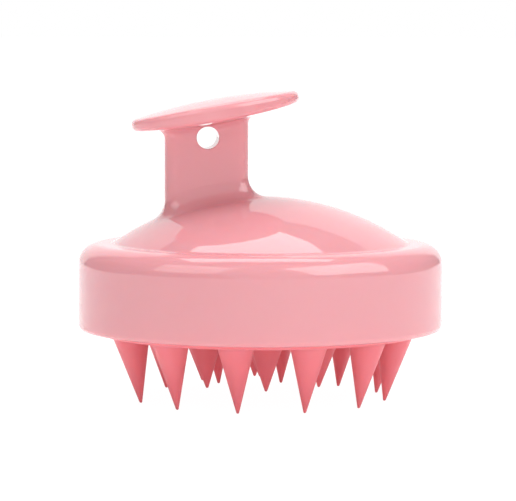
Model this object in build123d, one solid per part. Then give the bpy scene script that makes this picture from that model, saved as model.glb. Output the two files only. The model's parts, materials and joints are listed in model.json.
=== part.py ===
from build123d import *

import math
import os

# A hand-held scalp massager brush: a round casing with a T-shaped grip, and a soft silicone pad
# with nineteen flexing teeth that plugs into the casing's mouth.
#
# Millimetres, +Z up. The origin is on the casing's round axis, in the plane that the tooth tips
# touch. +X runs towards the raised end of the grip cap, and the hanging hole runs along Y.

# Casing
BODY_RADIUS = 42.5
WALL = 2.2
CASING_FOOT_Z = 16.4
LEDGE_Z = 36.4
APEX_Z = 47.3
SHOULDER_RADIUS = 4.8
FOOT_ROUNDING = 1.2
CREASE_RADIUS = 34.5
CREASE_ROUNDING = 1.4
MOUTH_RADIUS = 38.0
MOUTH_TOP_Z = 21.0
MOUTH_ROUNDING = 0.8

# Grip: an upright web that carries a crowned, oval, tilted cap
WEB_X = -12.8
WEB_WIDTH = 19.4
WEB_THICKNESS = 9.0
WEB_CORNER = 2.6
WEB_FOOT_FILLET = 4.8
WEB_HEAD_FILLET = 2.0
CAP_X = -10.65
CAP_Z = 67.2
CAP_LENGTH = 39.4
CAP_DEPTH = 32.0
CAP_EDGE = 2.4
CAP_CROWN_RADIUS = 118.0
CAP_TOP_ROUNDING = 1.35
CAP_FOOT_ROUNDING = 1.0
CAP_TILT = 10.3

# Hanging hole through the web
HOLE_X = -12.65
HOLE_Z = 61.1
HOLE_RADIUS = 2.6
HOLE_ROUNDING = 0.3

# Backing plate inside the casing, and what fastens it
PLATE_RADIUS = 37.6
PLATE_FOOT_Z = 21.2
PLATE_THICKNESS = 2.4
PLATE_LIP_WIDTH = 1.6
PLATE_LIP_HEIGHT = 1.5
BOSS_RING_RADIUS = 24.0
BOSS_RADIUS = 3.2
RIB_THICKNESS = 1.4
RIB_LIFT = 3.0
SCREW_ANGLES = (0, 120, 240)
STUD_ANGLES = (60, 180, 300)
SCREW_RADIUS = 1.25
SCREW_LENGTH = 9.0
SCREW_HEAD_RADIUS = 2.5
SCREW_HEAD_EDGE = 0.2
SCREW_HEAD_HEIGHT = 1.4
SCREW_POINT = 1.2
SCREW_CLEARANCE = 0.05
PILOT_DEPTH = 8.0
CROSS_SLOT_WIDTH = 0.6
CROSS_SLOT_DEPTH = 0.8
CROSS_SLOT_SPAN = 2.8

# Silicone pad
PAD_RADIUS = 37.8
PAD_FACE_Z = 15.3
PAD_THICKNESS = 3.0
PAD_TOP_Z = 21.1
PAD_RIM_WIDTH = 2.0
PAD_EDGE_ROUNDING = 0.8
SOCKET_WALL = 1.4
STUD_RADIUS = 2.0
STUD_RISE = 1.6
STUD_CLEARANCE = 0.1

# Teeth: for each ring its count, first angle, radius at the roots, radius at the tips, tip height
TOOTH_RINGS = {
    "outer": (12, 15.0, 31.7, 29.3, 0.0),
    "inner": (6, 30.0, 15.8, 15.0, 3.3),
    "centre": (1, 0.0, 0.0, 0.0, 5.0),
}
TOOTH_ROOT_RADIUS = 4.1
TOOTH_TIP_RADIUS = 0.35
TOOTH_CLEARANCE = 0.1
SOCKET_CHAMFER = 0.5

PLATE_TOP_Z = PLATE_FOOT_Z + PLATE_THICKNESS
SHEET_TOP_Z = PAD_FACE_Z + PAD_THICKNESS
DOME_RISE = APEX_Z - LEDGE_Z
DOME_RADIUS = (CREASE_RADIUS**2 + DOME_RISE**2) / (2 * DOME_RISE)
DOME_CENTRE_Z = APEX_Z - DOME_RADIUS

STANDING = (Align.CENTER, Align.CENTER, Align.MIN)
FROM_INNER_FOOT = (Align.MIN, Align.CENTER, Align.MIN)
NEARLY = 0.02


# Shared helpers

def ring_point(radius, angle, z=0.0):
    """The point at a radius and an angle round the casing's axis, at height z."""
    turn = math.radians(angle)
    return Vector(radius * math.cos(turn), radius * math.sin(turn), z)


def upright(radius, low_z, high_z, at=Vector(0, 0, 0)):
    """A cylinder that stands over the point at, from low_z to high_z."""
    return Pos(at.X, at.Y, low_z) * Cylinder(radius, high_z - low_z, align=STANDING)


def turned(outline):
    """The solid that an outline of radius and height makes when it turns round the Z axis."""
    return revolve(Plane.XZ * outline, Axis.Z, 360)


def nearest(shape, radius, z):
    """The corner of a flat outline that lies nearest to radius, z."""
    return shape.vertices().sort_by_distance((radius, z, 0))[0]


def edges_inside(solid, low, high):
    """The solid's edges that lie wholly inside the box from low to high."""
    found = []
    for edge in solid.edges():
        box = edge.bounding_box()
        above = all(a > b for a, b in zip(box.min, low))
        below = all(a < b for a, b in zip(box.max, high))
        if above and below:
            found.append(edge)
    return found


def circles_at(solid, radius, z):
    """The solid's circular edges of one radius at height z."""
    found = []
    for edge in solid.edges().filter_by(GeomType.CIRCLE):
        if abs(edge.radius - radius) < NEARLY and abs(edge.arc_center.Z - z) < NEARLY:
            found.append(edge)
    return found


# Casing

def bell(inset, foot_z, foot_rounding=0.0):
    """The casing's round form shrunk evenly by inset: side wall, shoulder, ledge and dome."""
    ledge_z = LEDGE_Z - inset
    drop_to_ledge = ledge_z - DOME_CENTRE_Z
    crease_radius = math.sqrt((DOME_RADIUS - inset) ** 2 - drop_to_ledge**2)
    side_radius = BODY_RADIUS - inset
    dome = TangentArc((0, APEX_Z - inset), (crease_radius, ledge_z), tangent=(1, 0))
    ledge = Line(dome @ 1, (BODY_RADIUS - SHOULDER_RADIUS, ledge_z))
    shoulder = JernArc(ledge @ 1, (1, 0), SHOULDER_RADIUS - inset, -90)
    side = Line(shoulder @ 1, (side_radius, foot_z))
    floor = Line(side @ 1, (0, foot_z))
    axis = Line(floor @ 1, dome @ 0)
    outline = make_face(Curve() + [dome, ledge, shoulder, side, floor, axis])
    outline = fillet(nearest(outline, crease_radius, ledge_z), CREASE_ROUNDING)
    if foot_rounding:
        outline = fillet(nearest(outline, side_radius, foot_z), foot_rounding)
    return turned(outline)


def web(width, thickness, corner, low_z, high_z):
    """An upright bar of rounded-rectangle section at the grip's place."""
    section = Pos(WEB_X, 0, low_z) * RectangleRounded(width, thickness, corner)
    return extrude(section, high_z - low_z)


def grip_cap():
    """The oval cap, crowned above and below, tilted so that its +X end is the high one."""
    edge_drop = CAP_CROWN_RADIUS - math.sqrt(CAP_CROWN_RADIUS**2 - (CAP_LENGTH / 2) ** 2)
    half_middle = CAP_EDGE / 2 + edge_drop
    blank = extrude(Ellipse(CAP_LENGTH / 2, CAP_DEPTH / 2), half_middle, both=True)
    crown = Rot(90, 0, 0) * Sphere(CAP_CROWN_RADIUS)
    upper_face = Pos(0, 0, half_middle - CAP_CROWN_RADIUS) * crown
    lower_face = Pos(0, 0, CAP_CROWN_RADIUS - half_middle) * crown
    cap = blank & upper_face & lower_face
    cap = fillet(cap.edges().sort_by(Axis.Z)[-1], CAP_TOP_ROUNDING)
    cap = fillet(cap.edges().sort_by(Axis.Z)[0], CAP_FOOT_ROUNDING)
    return Pos(CAP_X, 0, CAP_Z) * Rot(0, -CAP_TILT, 0) * cap


def web_edges(solid, low_z, high_z):
    """The edges that go round the web's section between two heights."""
    half_width = WEB_WIDTH / 2 + NEARLY
    half_thickness = WEB_THICKNESS / 2 + NEARLY
    low = (WEB_X - half_width, -half_thickness, low_z)
    high = (WEB_X + half_width, half_thickness, high_z)
    return edges_inside(solid, low, high)


def solid_casing():
    """The outside of the moulding: round body, web and cap, with the web's fillets."""
    body = bell(0, CASING_FOOT_Z, FOOT_ROUNDING)
    body = body + web(WEB_WIDTH, WEB_THICKNESS, WEB_CORNER, LEDGE_Z, CAP_Z) + grip_cap()
    roots = web_edges(body, LEDGE_Z, APEX_Z + WALL)
    body = fillet(roots, WEB_FOOT_FILLET)
    heads = web_edges(body, HOLE_Z, CAP_Z)
    return fillet(heads, WEB_HEAD_FILLET)


def screw_boss(angle):
    """A post that hangs from the dome down to the backing plate, with a rib out to the side."""
    at = ring_point(BOSS_RING_RADIUS, angle)
    post = upright(BOSS_RADIUS, PLATE_TOP_Z, APEX_Z, at)
    rib_foot_z = PLATE_TOP_Z + RIB_LIFT
    rib_reach = BODY_RADIUS - BOSS_RING_RADIUS
    rib = Box(rib_reach, RIB_THICKNESS, APEX_Z - rib_foot_z, align=FROM_INNER_FOOT)
    return post + Rot(0, 0, angle) * Pos(BOSS_RING_RADIUS, 0, rib_foot_z) * rib


def drill_hanging_hole(casing):
    """The casing with the round hole through its web, both mouths softly rounded."""
    bore = Rot(90, 0, 0) * Cylinder(HOLE_RADIUS, 2 * WEB_THICKNESS)
    casing = casing - Pos(HOLE_X, 0, HOLE_Z) * bore
    reach = HOLE_RADIUS + NEARLY
    low = (HOLE_X - reach, -WEB_THICKNESS, HOLE_Z - reach)
    high = (HOLE_X + reach, WEB_THICKNESS, HOLE_Z + reach)
    bore_edges = ShapeList(edges_inside(casing, low, high))
    mouths = bore_edges.filter_by(GeomType.LINE, reverse=True)
    return fillet(mouths, HOLE_ROUNDING)


def handle_casing():
    """Dome, side wall, web and cap in one moulding, hollow right up into the web."""
    core_top_z = HOLE_Z - HOLE_RADIUS - WALL
    core_width = WEB_WIDTH - 2 * WALL
    core_thickness = WEB_THICKNESS - 2 * WALL
    core = web(core_width, core_thickness, WEB_CORNER - WALL / 2, LEDGE_Z, core_top_z)
    hollow = bell(WALL, MOUTH_TOP_Z) + core
    mouth = upright(MOUTH_RADIUS, CASING_FOOT_Z, MOUTH_TOP_Z)
    casing = drill_hanging_hole(solid_casing()) - hollow - mouth
    lip = circles_at(casing, MOUTH_RADIUS, CASING_FOOT_Z)
    casing = fillet(lip, MOUTH_ROUNDING)
    within_wall = bell(WALL / 2, MOUTH_TOP_Z)
    for angle in SCREW_ANGLES:
        casing = casing + (screw_boss(angle) & within_wall)
    for angle in SCREW_ANGLES:
        at = ring_point(BOSS_RING_RADIUS, angle)
        radius = SCREW_RADIUS + SCREW_CLEARANCE
        casing = casing - upright(radius, PLATE_TOP_Z, PLATE_TOP_Z + PILOT_DEPTH, at)
    return casing


# Inside the casing

def backing_plate():
    """The disc screwed to the bosses, which the pad rests on and plugs into."""
    plate = upright(PLATE_RADIUS, PLATE_FOOT_Z, PLATE_TOP_Z)
    lip_top_z = PLATE_TOP_Z + PLATE_LIP_HEIGHT
    lip = upright(PLATE_RADIUS, PLATE_TOP_Z, lip_top_z)
    lip = lip - upright(PLATE_RADIUS - PLATE_LIP_WIDTH, PLATE_TOP_Z, lip_top_z)
    plate = plate + lip
    for angle in STUD_ANGLES:
        at = ring_point(BOSS_RING_RADIUS, angle)
        plate = plate + upright(BOSS_RADIUS, PLATE_TOP_Z, lip_top_z, at)
        plate = plate - upright(STUD_RADIUS + STUD_CLEARANCE, PLATE_FOOT_Z, lip_top_z, at)
    for angle in SCREW_ANGLES:
        plate = plate - screw(angle, SCREW_CLEARANCE)
    return plate


def screw(angle, swell=0.0):
    """One countersunk screw, or with swell the slightly larger room that it needs."""
    head_radius = SCREW_HEAD_RADIUS + swell
    shank_radius = SCREW_RADIUS + swell
    shank_top = SCREW_LENGTH - SCREW_POINT
    outline = Polyline(
        (0, 0),
        (head_radius, 0),
        (head_radius, SCREW_HEAD_EDGE),
        (shank_radius, SCREW_HEAD_HEIGHT),
        (shank_radius, shank_top),
        (shank_radius / 2, SCREW_LENGTH),
        (0, SCREW_LENGTH),
        (0, 0),
    )
    at = ring_point(BOSS_RING_RADIUS, angle, PLATE_FOOT_Z)
    return Pos(at) * turned(make_face(outline))


def cross_recess(angle):
    """The cross-shaped driver slot in the underside of a screw's head."""
    at = ring_point(BOSS_RING_RADIUS, angle, PLATE_FOOT_Z)
    slot = Box(CROSS_SLOT_SPAN, CROSS_SLOT_WIDTH, CROSS_SLOT_DEPTH, align=STANDING)
    return Pos(at) * (slot + Rot(0, 0, 90) * slot)


def plate_screws():
    """The screws that hold the backing plate up against the casing's bosses."""
    return Compound([screw(angle) - cross_recess(angle) for angle in SCREW_ANGLES])


# Silicone pad and teeth

def tooth_ends():
    """Each tooth's node name, the centre of its root and the centre of its rounded tip."""
    ends = {}
    for ring, (count, first, root_radius, tip_radius, tip_z) in TOOTH_RINGS.items():
        for index in range(count):
            angle = first + index * 360 / count
            name = f"tooth_{ring}_{index + 1:02d}"
            root = ring_point(root_radius, angle, PAD_FACE_Z)
            tip = ring_point(tip_radius, angle, tip_z + TOOTH_TIP_RADIUS)
            ends[name] = (root, tip)
    return ends


def tooth(root, tip):
    """A tapering tooth: a ball root, straight flanks that leave it smoothly, a rounded tip."""
    along = tip - root
    taper = math.asin((TOOTH_ROOT_RADIUS - TOOTH_TIP_RADIUS) / along.length)
    across, rise = math.cos(taper), math.sin(taper)
    root_edge = (TOOTH_ROOT_RADIUS * across, TOOTH_ROOT_RADIUS * rise)
    tip_edge = (TOOTH_TIP_RADIUS * across, along.length + TOOTH_TIP_RADIUS * rise)
    root_back = (0, -TOOTH_ROOT_RADIUS)
    tip_end = (0, along.length + TOOTH_TIP_RADIUS)
    ball = ThreePointArc(root_back, (TOOTH_ROOT_RADIUS, 0), root_edge)
    flank = Line(root_edge, tip_edge)
    point = TangentArc(tip_edge, tip_end, tangent=(-rise, across))
    spine = Line(tip_end, root_back)
    outline = make_face(Curve() + [ball, flank, point, spine])
    return Plane(origin=root, z_dir=along) * turned(outline)


def tooth_socket(root):
    """The ball-shaped room for one tooth's root, opened out a little at the pad's face."""
    ball = Sphere(TOOTH_ROOT_RADIUS + TOOTH_CLEARANCE)
    wide = TOOTH_ROOT_RADIUS + TOOTH_CLEARANCE + SOCKET_CHAMFER
    opening = Cone(wide, wide - SOCKET_CHAMFER, SOCKET_CHAMFER, align=STANDING)
    return Pos(root) * (ball + opening)


def brush_pad():
    """The round silicone pad: a sheet with a raised rim, cups over the roots, and studs."""
    pad = upright(PAD_RADIUS, PAD_FACE_Z, PAD_TOP_Z)
    pad = fillet(circles_at(pad, PAD_RADIUS, PAD_FACE_Z), PAD_EDGE_ROUNDING)
    pad = pad - upright(PAD_RADIUS - PAD_RIM_WIDTH, SHEET_TOP_Z, PAD_TOP_Z)
    cup = Sphere(TOOTH_ROOT_RADIUS + TOOTH_CLEARANCE + SOCKET_WALL)
    above_face = upright(PAD_RADIUS, SHEET_TOP_Z, PAD_TOP_Z)
    for root, _ in TEETH.values():
        pad = pad + (Pos(root) * cup & above_face)
    for angle in STUD_ANGLES:
        at = ring_point(BOSS_RING_RADIUS, angle)
        pad = pad + upright(STUD_RADIUS, SHEET_TOP_Z, PLATE_TOP_Z + STUD_RISE, at)
    for root, _ in TEETH.values():
        pad = pad - tooth_socket(root)
    return pad


def main():
    """Builds every node and writes each to its own STEP file."""
    nodes = {
        "handle_casing": handle_casing(),
        "backing_plate": backing_plate(),
        "plate_screws": plate_screws(),
        "brush_pad": brush_pad(),
    }
    for name, (root, tip) in TEETH.items():
        nodes[name] = tooth(root, tip)
    os.makedirs("parts", exist_ok=True)
    for name, shape in nodes.items():
        export_step(shape, f"parts/{name}.step")


TEETH = tooth_ends()

if __name__ == "__main__":
    main()
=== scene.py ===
import json
import math

import bmesh
import bpy
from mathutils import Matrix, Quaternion, Vector


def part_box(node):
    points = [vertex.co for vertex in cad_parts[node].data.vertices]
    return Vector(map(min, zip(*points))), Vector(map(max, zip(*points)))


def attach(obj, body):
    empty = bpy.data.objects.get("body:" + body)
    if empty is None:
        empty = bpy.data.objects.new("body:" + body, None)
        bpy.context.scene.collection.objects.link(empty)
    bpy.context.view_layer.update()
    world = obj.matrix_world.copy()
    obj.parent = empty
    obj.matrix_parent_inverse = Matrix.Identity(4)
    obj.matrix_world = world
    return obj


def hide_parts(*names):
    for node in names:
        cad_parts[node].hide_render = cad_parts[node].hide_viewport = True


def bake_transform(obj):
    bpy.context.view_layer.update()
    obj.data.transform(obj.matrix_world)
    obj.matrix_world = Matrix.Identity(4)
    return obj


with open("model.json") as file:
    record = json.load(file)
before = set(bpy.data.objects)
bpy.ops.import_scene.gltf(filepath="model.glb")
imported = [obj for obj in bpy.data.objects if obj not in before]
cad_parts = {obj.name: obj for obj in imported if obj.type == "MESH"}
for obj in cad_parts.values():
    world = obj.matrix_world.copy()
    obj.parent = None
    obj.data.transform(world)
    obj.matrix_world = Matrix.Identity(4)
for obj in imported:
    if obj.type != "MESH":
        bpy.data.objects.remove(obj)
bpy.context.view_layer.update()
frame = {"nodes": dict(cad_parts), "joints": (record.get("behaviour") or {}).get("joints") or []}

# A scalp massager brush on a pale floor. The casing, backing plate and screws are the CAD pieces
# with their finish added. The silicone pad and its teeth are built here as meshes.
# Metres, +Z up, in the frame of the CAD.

MM = 0.001

# Camera. The frame's width is measured at the brush, and angles are in degrees
CAMERA_DISTANCE = 0.745
CAMERA_AZIMUTH = -5.1
CAMERA_HEIGHT = 0.0945
CAMERA_ROLL = 0.15
AIM_HEIGHT = 0.03458
AIM_ASIDE = -0.00059
FRAME_WIDTH = 0.1200
SENSOR_WIDTH = 36.0
CLIP_START = 0.01
CLIP_END = 50

# Floor. The camera sees its glow and a trace of shade, and other rays its white and its bounce
FLOOR_RADIUS = 6.0
FLOOR_SIDES = 96
FLOOR_GLOW = 0.98
FLOOR_SHADE = 0.10
FLOOR_WHITE = 0.85
FLOOR_BOUNCE = 0.25

# Light. The panel's corners are its x and y for each metre of its height
ROOM_WHITE = 1.0
ROOM_FILL = 0.34
LIGHT_DISTANCE = 4.0
PANEL_HEIGHT = 3.9
PANEL_BRIGHTNESS = 3.0
PANEL_CORNERS = ((0.13, 0.65), (-0.31, 0.57), (-0.40, 0.10), (0.40, 0.10), (0.36, 0.46))

# Silicone pad, from its face up to its rim
PAD_SIDES = 384
PAD_THICKNESS = 3.0 * MM
RIM_WIDTH = 2.0 * MM
RIM_ROUNDING = 0.6 * MM
EDGE_ROUNDING = 0.8 * MM
RIM_DRAFT = 0.5 * MM
RIM_SLOPE = 4.4
RIM_STEPS = 12
SHEET_STEPS = 76
CUP_RADIUS = 5.6 * MM
CUP_BLEND = 1.6 * MM
PLATE_GAP = 0.1 * MM
STUD_RADIUS = 2.0 * MM
STUD_ROUNDING = 0.5 * MM
STUD_FILLET = 0.6 * MM
STUD_RING_RADIUS = 24.0 * MM
STUD_ANGLES = (60, 180, 300)
ROUND_STEPS = 8

# Teeth
TOOTH_SIDES = 64
TOOTH_ROOT_RADIUS = 4.1 * MM
TOOTH_TIP_RADIUS = 0.35 * MM
TOOTH_FLARE = 0.5 * MM
FLARE_STEPS = 16
FLANK_STEPS = 24
TIP_END_ANGLE = 84
EMBED = 0.01 * MM


# Mesh helpers

def arc(centre, radius, start, end, steps=ROUND_STEPS):
    """Points along an arc in the plane of radius and height, angles in degrees from outwards."""
    points = []
    for step in range(steps + 1):
        turn = math.radians(start + (end - start) * step / steps)
        x = centre[0] + radius * math.cos(turn)
        z = centre[1] + radius * math.sin(turn)
        points.append((x, z))
    return points


def ring(form, radius, height, centre=(0, 0), sides=TOOTH_SIDES):
    """A level circle of vertices."""
    verts = []
    for side in range(sides):
        turn = 2 * math.pi * side / sides
        x = centre[0] + radius * math.cos(turn)
        y = centre[1] + radius * math.sin(turn)
        verts.append(form.verts.new((x, y, height)))
    return verts


def skin(form, rings):
    """Quads from each ring of vertices to the next."""
    for lower, upper in zip(rings, rings[1:]):
        count = len(lower)
        for side in range(count):
            after = (side + 1) % count
            form.faces.new((lower[side], lower[after], upper[after], upper[side]))


def cap(form, circle, apex):
    """A fan of triangles from a ring to a point."""
    tip = form.verts.new(apex)
    for side in range(len(circle)):
        form.faces.new((circle[side], circle[(side + 1) % len(circle)], tip))


def add_to_scene(form, name, material):
    """The bmesh as an object in the scene."""
    mesh = bpy.data.meshes.new(name)
    form.to_mesh(mesh)
    form.free()
    mesh.materials.append(material)
    obj = bpy.data.objects.new(name, mesh)
    bpy.context.scene.collection.objects.link(obj)
    return obj


def add_smooth(form, name, material):
    """The bmesh as a smooth object in the scene, its faces all outwards."""
    bmesh.ops.recalc_face_normals(form, faces=form.faces)
    obj = add_to_scene(form, name, material)
    obj.data.shade_smooth()
    return obj


# Silicone pad

def soft_max(one, other):
    """The greater of two heights, with a smooth turn where they meet."""
    overlap = max(CUP_BLEND - abs(one - other), 0)
    return max(one, other) + overlap**2 / (4 * CUP_BLEND)


def pad_top(x, y, roots, sheet_z, inner):
    """Height of the pad's upper side: flat sheet, a cup over each root, and the rim's slope."""
    height = sheet_z
    for root in roots:
        inside = CUP_RADIUS**2 - (x - root.x) ** 2 - (y - root.y) ** 2
        if inside > 0:
            height = soft_max(height, root.z + math.sqrt(inside))
    rim_foot = inner - RIM_DRAFT
    slope = sheet_z + (math.hypot(x, y) - rim_foot) * RIM_SLOPE
    return soft_max(height, slope)


def stud_outline(foot_z, top_z):
    """Radius and height from the flat sheet up a round-ended stud."""
    fillet = arc((STUD_RADIUS + STUD_FILLET, foot_z + STUD_FILLET), STUD_FILLET, -90, -180)
    corner = (STUD_RADIUS - STUD_ROUNDING, top_z - STUD_ROUNDING)
    return fillet + arc(corner, STUD_ROUNDING, 0, 90)


def pad_edge_outline(face_z, rim_z, radius):
    """Radius and height from the face round the pad's edge to the inner lip of its rim."""
    inner = radius - RIM_WIDTH
    low = arc((radius - EDGE_ROUNDING, face_z + EDGE_ROUNDING), EDGE_ROUNDING, -90, 0)
    outer_lip = arc((radius - RIM_ROUNDING, rim_z - RIM_ROUNDING), RIM_ROUNDING, 0, 90)
    inner_lip = arc((inner + RIM_ROUNDING, rim_z - RIM_ROUNDING), RIM_ROUNDING, 90, 180)
    return low + outer_lip + inner_lip


def lathe(form, outline, centre=(0, 0), sides=TOOTH_SIDES):
    """Rings that follow an outline of radius and height, joined up. Returns the rings."""
    rings = [ring(form, radius, z, centre, sides) for radius, z in outline]
    skin(form, rings)
    return rings


def pad_top_radii(inner):
    """Radii of the rings over the pad's upper side, close together on the rim's slope."""
    radii = [inner - 2 * RIM_DRAFT * step / RIM_STEPS for step in range(1, RIM_STEPS + 1)]
    sheet_radius = radii[-1]
    radii += [sheet_radius * (1 - step / SHEET_STEPS) for step in range(1, SHEET_STEPS)]
    return radii


def add_studs(form, foot_z, top_z):
    """The round-ended studs that plug into the backing plate."""
    for angle in STUD_ANGLES:
        turn = math.radians(angle)
        place = Vector((STUD_RING_RADIUS * math.cos(turn), STUD_RING_RADIUS * math.sin(turn)))
        stud = lathe(form, stud_outline(foot_z, top_z), place)
        cap(form, stud[0], (place.x, place.y, foot_z))
        cap(form, stud[-1], (place.x, place.y, top_z))


def build_pad(roots, material):
    """The round pad: flat face, rounded edge, raised rim, and cups and studs on its sheet."""
    low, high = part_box("brush_pad")
    radius = high.x
    face_z = low.z
    sheet_z = face_z + PAD_THICKNESS
    rim_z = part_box("backing_plate")[0].z - PLATE_GAP
    inner = radius - RIM_WIDTH
    form = bmesh.new()
    edge = lathe(form, pad_edge_outline(face_z, rim_z, radius), sides=PAD_SIDES)
    cap(form, edge[0], (0, 0, face_z))
    rings = [edge[-1]]
    for ring_radius in pad_top_radii(inner):
        circle = ring(form, ring_radius, sheet_z, sides=PAD_SIDES)
        for vert in circle:
            vert.co.z = pad_top(vert.co.x, vert.co.y, roots, sheet_z, inner)
        rings.append(circle)
    skin(form, rings)
    cap(form, rings[-1], (0, 0, pad_top(0, 0, roots, sheet_z, inner)))
    add_studs(form, sheet_z - EMBED, high.z)
    return add_smooth(form, "silicone_pad", material)


# Teeth

def tooth_profile(length):
    """Radius and depth below the pad's face: flared foot, straight flank, rounded tip."""
    drop = length - TOOTH_TIP_RADIUS
    taper = math.asin((TOOTH_ROOT_RADIUS - TOOTH_TIP_RADIUS) / drop)
    root_radius = TOOTH_ROOT_RADIUS / math.cos(taper)
    slope = math.tan(taper)
    profile = []
    for step in range(FLARE_STEPS + 1):
        turn = math.radians(90 * step / FLARE_STEPS)
        depth = TOOTH_FLARE * (1 - math.cos(turn))
        flare = TOOTH_FLARE * (1 - math.sin(turn))
        profile.append((root_radius - slope * depth + flare, depth))
    tip_start = drop + TOOTH_TIP_RADIUS * math.sin(taper)
    for step in range(1, FLANK_STEPS + 1):
        depth = TOOTH_FLARE + (tip_start - TOOTH_FLARE) * step / FLANK_STEPS
        profile.append((root_radius - slope * depth, depth))
    tip_arc = arc((0, drop), TOOTH_TIP_RADIUS, math.degrees(taper), TIP_END_ANGLE)
    return profile + tip_arc[1:]


def build_tooth(name, root, tip, material):
    """A slanting tooth in level slices, its flared foot let into the pad's face."""
    form = bmesh.new()
    length = root.z - tip.z
    lean = (tip - root) / length
    rings = []
    for radius, depth in tooth_profile(length):
        middle = root + lean * depth
        rings.append(ring(form, radius, middle.z + EMBED, middle))
    skin(form, rings)
    cap(form, rings[0], root + Vector((0, 0, EMBED)))
    cap(form, rings[-1], tip)
    return add_smooth(form, name, material)


# Material helpers

class Shader:
    """A material's node tree with a Principled shader, and short calls that add nodes to it."""

    def __init__(self, name):
        self.material = bpy.data.materials.new(name)
        self.material.use_nodes = True
        self.tree = self.material.node_tree
        self.principled = self.tree.nodes["Principled BSDF"]
        self.coordinates = self.tree.nodes.new("ShaderNodeTexCoord")

    def set(self, **values):
        """Sets sockets of the Principled shader, whose names are given with underscores."""
        for name, value in values.items():
            self.principled.inputs[name.replace("_", " ")].default_value = value

    def link(self, output, socket):
        self.tree.links.new(output, socket)

    def noise(self, scale, detail=3.0, stretch=(1, 1, 1)):
        """Noise over the object's own space, scale in features per metre."""
        mapping = self.tree.nodes.new("ShaderNodeMapping")
        mapping.inputs["Scale"].default_value = stretch
        self.link(self.coordinates.outputs["Object"], mapping.inputs["Vector"])
        texture = self.tree.nodes.new("ShaderNodeTexNoise")
        texture.inputs["Scale"].default_value = scale
        texture.inputs["Detail"].default_value = detail
        self.link(mapping.outputs["Vector"], texture.inputs["Vector"])
        return texture.outputs["Fac"]

    def ramp(self, value, stops):
        """A colour ramp over value, between two stops of (position, colour)."""
        node = self.tree.nodes.new("ShaderNodeValToRGB")
        for element, (position, colour) in zip(node.color_ramp.elements, stops):
            element.position = position
            element.color = (*colour, 1.0)
        self.link(value, node.inputs["Fac"])
        return node.outputs["Color"]

    def span(self, value, low, high):
        """Value from 0 to 1 stretched to run from low to high."""
        node = self.tree.nodes.new("ShaderNodeMapRange")
        node.inputs["To Min"].default_value = low
        node.inputs["To Max"].default_value = high
        self.link(value, node.inputs["Value"])
        return node.outputs["Result"]

    def bump(self, height, depth, strength):
        """Raises the surface by depth metres where height is 1."""
        node = self.tree.nodes.new("ShaderNodeBump")
        node.inputs["Distance"].default_value = depth
        node.inputs["Strength"].default_value = strength
        self.link(height, node.inputs["Height"])
        self.link(node.outputs["Normal"], self.principled.inputs["Normal"])


def casing_plastic():
    """Polished pink ABS: even colour with faint flow clouding and a trace of orange peel."""
    shader = Shader("casing_plastic")
    clouds = shader.noise(28, 2.0)
    colour = shader.ramp(clouds, [(0.3, (0.725, 0.303, 0.332)), (0.7, (0.745, 0.321, 0.350))])
    shader.link(colour, shader.principled.inputs["Base Color"])
    polish = shader.span(shader.noise(160, 3.0), 0.025, 0.050)
    shader.link(polish, shader.principled.inputs["Roughness"])
    shader.bump(shader.noise(420, 1.0), 0.02 * MM, 0.25)
    shader.set(IOR=1.53, Subsurface_Weight=0.25, Subsurface_Scale=6.0 * MM)
    return shader.material


def silicone():
    """Soft coral silicone: satin, slightly translucent, with a fine moulded grain."""
    shader = Shader("silicone")
    clouds = shader.noise(60, 3.0)
    colour = shader.ramp(clouds, [(0.3, (0.79, 0.200, 0.231)), (0.7, (0.83, 0.225, 0.256))])
    shader.link(colour, shader.principled.inputs["Base Color"])
    satin = shader.span(shader.noise(500, 4.0), 0.36, 0.50)
    shader.link(satin, shader.principled.inputs["Roughness"])
    shader.bump(shader.noise(2600, 2.0), 0.03 * MM, 0.35)
    shader.set(IOR=1.42, Subsurface_Weight=0.35, Subsurface_Scale=3.0 * MM)
    return shader.material


def plate_plastic():
    """As-moulded ABS inside the casing: satin, with a fine spark-eroded texture."""
    shader = Shader("plate_plastic")
    clouds = shader.noise(45, 2.0)
    colour = shader.ramp(clouds, [(0.3, (0.72, 0.30, 0.32)), (0.7, (0.76, 0.33, 0.35))])
    shader.link(colour, shader.principled.inputs["Base Color"])
    satin = shader.span(shader.noise(700, 3.0), 0.38, 0.52)
    shader.link(satin, shader.principled.inputs["Roughness"])
    shader.bump(shader.noise(3200, 2.0), 0.03 * MM, 0.5)
    shader.set(IOR=1.53)
    return shader.material


def screw_steel():
    """Zinc-plated steel with faint turning marks."""
    shader = Shader("screw_steel")
    marks = shader.noise(900, 4.0, stretch=(1, 1, 6))
    colour = shader.ramp(marks, [(0.25, (0.50, 0.51, 0.53)), (0.75, (0.68, 0.68, 0.69))])
    shader.link(colour, shader.principled.inputs["Base Color"])
    worn = shader.span(marks, 0.22, 0.38)
    shader.link(worn, shader.principled.inputs["Roughness"])
    shader.bump(marks, 0.01 * MM, 0.3)
    shader.set(Metallic=1.0)
    return shader.material


# Stage, camera and light

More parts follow.
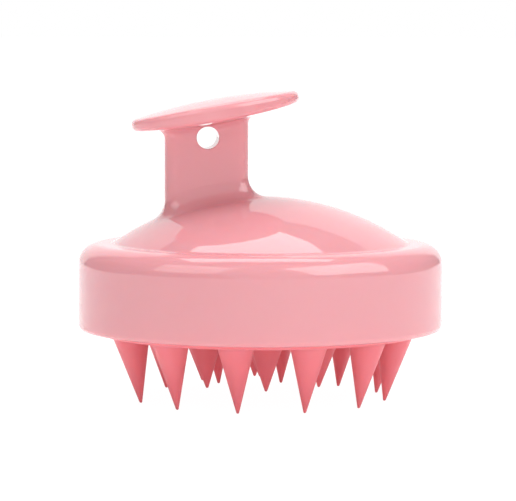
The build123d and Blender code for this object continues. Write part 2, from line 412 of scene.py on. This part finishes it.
def make_camera():
    """A long lens a little above the brush, turned slightly to the left of the web's face."""
    data = bpy.data.cameras.new("camera")
    data.sensor_width = SENSOR_WIDTH
    data.lens = SENSOR_WIDTH * CAMERA_DISTANCE / FRAME_WIDTH
    data.clip_start = CLIP_START
    data.clip_end = CLIP_END
    camera = bpy.data.objects.new("camera", data)
    turn = math.radians(CAMERA_AZIMUTH)
    place = Vector((math.sin(turn), -math.cos(turn), 0)) * CAMERA_DISTANCE
    place.z = CAMERA_HEIGHT
    across = Vector((math.cos(turn), math.sin(turn), 0))
    aim = across * AIM_ASIDE + Vector((0, 0, AIM_HEIGHT))
    camera.location = place
    camera.rotation_mode = "QUATERNION"
    look = (aim - place).to_track_quat("-Z", "Y")
    camera.rotation_quaternion = look @ Quaternion((0, 0, 1), math.radians(CAMERA_ROLL))
    bpy.context.scene.collection.objects.link(camera)
    bpy.context.scene.camera = camera


def camera_switch(tree, for_camera, for_light):
    """A number that is for_camera to the camera itself and for_light to every other ray."""
    path = tree.nodes.new("ShaderNodeLightPath")
    chosen = tree.nodes.new("ShaderNodeMapRange")
    chosen.inputs["To Min"].default_value = for_light
    chosen.inputs["To Max"].default_value = for_camera
    tree.links.new(path.outputs["Is Camera Ray"], chosen.inputs["Value"])
    return chosen.outputs["Result"]


def clear_from_below(shader):
    """Lets a view from below pass through the surface."""
    nodes = shader.tree.nodes
    side = nodes.new("ShaderNodeNewGeometry")
    clear = nodes.new("ShaderNodeBsdfTransparent")
    mix = nodes.new("ShaderNodeMixShader")
    shader.link(side.outputs["Backfacing"], mix.inputs["Fac"])
    shader.link(shader.principled.outputs["BSDF"], mix.inputs[1])
    shader.link(clear.outputs["BSDF"], mix.inputs[2])
    shader.link(mix.outputs["Shader"], nodes["Material Output"].inputs["Surface"])


def floor_white():
    """Matt white that glows to the camera and gives other rays only a little bounce."""
    shader = Shader("floor_white")
    shader.set(Roughness=0.9, Specular_IOR_Level=0.0, Emission_Color=(1, 1, 1, 1))
    shade = camera_switch(shader.tree, FLOOR_SHADE, FLOOR_WHITE)
    shader.link(shade, shader.principled.inputs["Base Color"])
    glow = camera_switch(shader.tree, FLOOR_GLOW, FLOOR_BOUNCE)
    shader.link(glow, shader.principled.inputs["Emission Strength"])
    clear_from_below(shader)
    return shader.material


def floor():
    """A pale round floor like a light table, which is open to a view from below."""
    form = bmesh.new()
    bmesh.ops.create_circle(form, cap_ends=True, segments=FLOOR_SIDES, radius=FLOOR_RADIUS)
    obj = add_to_scene(form, "floor", floor_white())


def world_light():
    """A white room to look at, which gives only a dim even fill."""
    world = bpy.data.worlds.new("studio")
    world.use_nodes = True
    tree = world.node_tree
    background = tree.nodes["Background"]
    background.inputs["Color"].default_value = (1, 1, 1, 1)
    strength = camera_switch(tree, ROOM_WHITE, ROOM_FILL)
    tree.links.new(strength, background.inputs["Strength"])
    bpy.context.scene.world = world


def soft_light(name, azimuth, elevation, width, height, brightness, mirrored):
    """A soft rectangle that faces the brush. Azimuth 0 is behind it, 90 on its right.

    A mirrored one is a lamp's face that the polish reflects. The others only fill the shade.
    """
    data = bpy.data.lights.new(name, "AREA")
    data.shape = "RECTANGLE"
    data.size = width
    data.size_y = height
    data.energy = brightness * math.pi * width * height
    light = bpy.data.objects.new(name, data)
    turn = math.radians(azimuth)
    lift = math.radians(elevation)
    level = math.cos(lift)
    back = Vector((math.sin(turn) * level, math.cos(turn) * level, math.sin(lift)))
    light.location = back * LIGHT_DISTANCE
    light.rotation_mode = "QUATERNION"
    light.rotation_quaternion = back.to_track_quat("Z", "Y")
    light.visible_camera = False
    light.visible_glossy = mirrored
    light.visible_diffuse = not mirrored
    bpy.context.scene.collection.objects.link(light)


def overhead_panel():
    """A five-sided lit panel above the brush, whose back corner shows in the dome's polish."""
    shader = Shader("panel_white")
    shader.set(Emission_Color=(1, 1, 1, 1), Emission_Strength=PANEL_BRIGHTNESS)
    form = bmesh.new()
    places = [Vector((x, y, 1)) * PANEL_HEIGHT for x, y in PANEL_CORNERS]
    form.faces.new([form.verts.new(place) for place in places])
    obj = add_to_scene(form, "overhead_panel", shader.material)
    obj.visible_camera = False
    obj.visible_diffuse = False
    obj.visible_shadow = False


def studio_lights():
    """A backdrop, a softbox on each side and a glow in front to reflect, and two broad fills."""
    soft_light("backdrop", 0, 16, 4.6, 5.0, 0.80, mirrored=True)
    soft_light("left_softbox", -124, 38, 3.0, 2.7, 2.20, mirrored=True)
    soft_light("right_softbox", 124, 36, 4.2, 3.4, 3.60, mirrored=True)
    soft_light("top_fill", 0, 85, 4.0, 4.0, 3.80, mirrored=False)
    soft_light("front_fill", 155, 30, 5.0, 4.5, 0.95, mirrored=False)
    soft_light("front_glow", 170, 38, 6.5, 5.5, 0.70, mirrored=True)


# Pieces in the scene

def finish_cad_pieces():
    """Puts a finish on each hard piece that comes from the CAD."""
    finishes = {
        "handle_casing": casing_plastic(),
        "backing_plate": plate_plastic(),
        "plate_screws": screw_steel(),
    }
    for name, material in finishes.items():
        for part_slot in frame["nodes"][name].material_slots:
            part_slot.material = material


def tooth_roots():
    """Each tooth's body with the place of its hinge, which is where it leaves the pad."""
    hinges = [joint for joint in frame["joints"] if joint["type"] == "hinge"]
    return {joint["child"]: Vector(joint["pos_m"]) for joint in hinges}


def add_teeth(roots, soft):
    """A silicone tooth in place of each plain one of the CAD, its tip in the same place."""
    for body, root in roots.items():
        lowest = min(frame["nodes"][body].data.vertices, key=lambda vert: vert.co.z)
        tooth = build_tooth("silicone_" + body, root, lowest.co.copy(), soft)
        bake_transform(tooth)
        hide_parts(body)


def add_pad(roots, soft):
    """The silicone pad in place of the CAD's plain one."""
    pad = build_pad(roots.values(), soft)
    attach(pad, "pad")
    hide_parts("brush_pad")


make_camera()
floor()
world_light()
overhead_panel()
studio_lights()
bpy.context.scene.view_settings.view_transform = "Standard"

finish_cad_pieces()
soft_silicone = silicone()
tooth_places = tooth_roots()
add_teeth(tooth_places, soft_silicone)
add_pad(tooth_places, soft_silicone)
